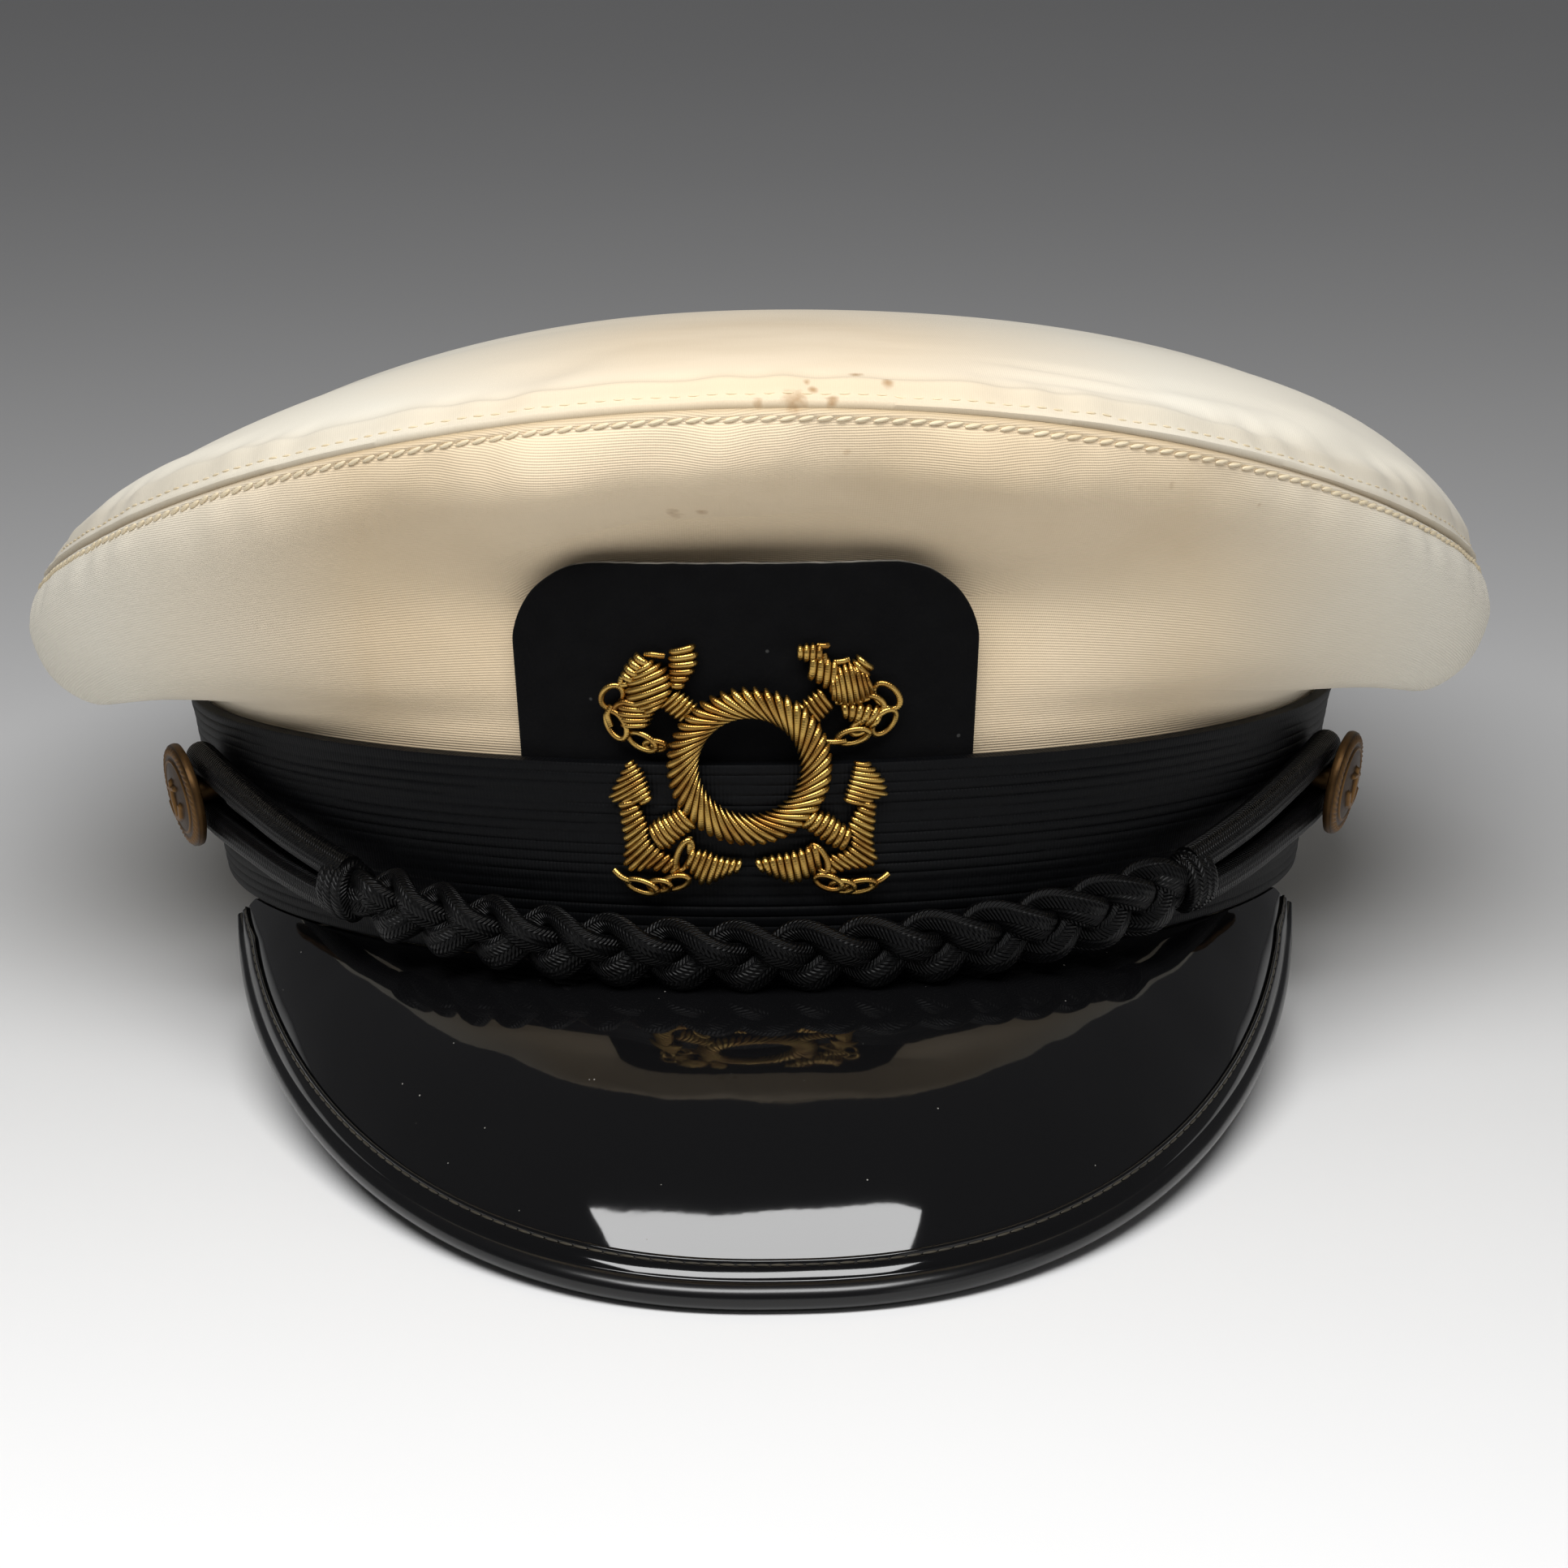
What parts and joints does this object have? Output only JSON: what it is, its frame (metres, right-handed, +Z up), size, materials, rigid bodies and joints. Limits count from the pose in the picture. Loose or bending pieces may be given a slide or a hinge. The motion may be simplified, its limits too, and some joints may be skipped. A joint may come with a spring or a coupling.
{
  "type": "captain hat",
  "caption": "White-topped captain's hat with a ribbed black band, glossy black peak, black plaited cord between brass buttons, and a gold thread anchor badge on a felt patch.",
  "frame": {"origin": "centre of the hat's bounds on the surface it rests on", "axes": "+Z up, the peak points along -Y, +X is the wearer's left; the hat lies as it rests, tipped back a little on the rim of its peak and the back of its hem"},
  "size_m": [0.2248, 0.279, 0.1129],
  "materials": {
    "cotton": "fine ribbed cotton, cream white",
    "ribbed_band": "ribbed black braid",
    "felt": "black wool felt",
    "bullion": "gold metal thread over padding",
    "black_cord": "twisted black cord",
    "brass": "dark aged brass",
    "patent": "glossy black coated sheet",
    "patent_edge": "folded black edging"
  },
  "bodies": {
    "root": {"crown_side": "cotton", "crown_top": "cotton", "hat_band": "ribbed_band", "badge_patch": "felt", "emblem_ring": "bullion", "emblem_head_left": "bullion", "emblem_head_right": "bullion", "emblem_fluke_left": "bullion", "emblem_fluke_right": "bullion", "braid_strand_1": "black_cord", "braid_strand_2": "black_cord", "braid_strand_3": "black_cord", "braid_knot_left": "black_cord", "braid_knot_right": "black_cord", "cord_loop_left": "black_cord", "cord_loop_right": "black_cord", "button_left": "brass", "button_right": "brass", "peak": "patent", "peak_binding": "patent_edge"}
  },
  "joints": []
}
